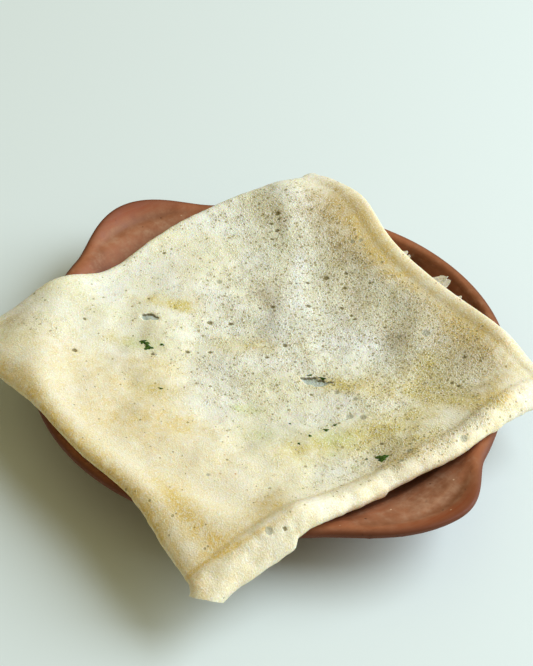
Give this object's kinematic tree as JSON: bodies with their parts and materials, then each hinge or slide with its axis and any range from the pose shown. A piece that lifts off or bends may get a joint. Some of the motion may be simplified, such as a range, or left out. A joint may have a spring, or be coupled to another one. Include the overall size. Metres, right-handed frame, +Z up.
{
  "type": "plate of neer dosa",
  "caption": "Thin rice crepe folded into a soft square parcel, sagging over a shallow clay dish with lug ears, for a served breakfast or meal setting.",
  "frame": {"origin": "centre of the dish's flat underside, on the table", "axes": "+Z up out of the dish; X through the two ears; Y across them, so the parcel's sides lie along X and Y"},
  "size_m": [0.2538, 0.2246, 0.045],
  "materials": {
    "terracotta": "unglazed, softly burnished, with faint turning streaks and small pits",
    "rice_crepe": "soft, matte and slightly moist, finely pored, off-white with yellow patches"
  },
  "bodies": {
    "root": {"plate": "terracotta", "dosa": "rice_crepe"}
  },
  "joints": []
}
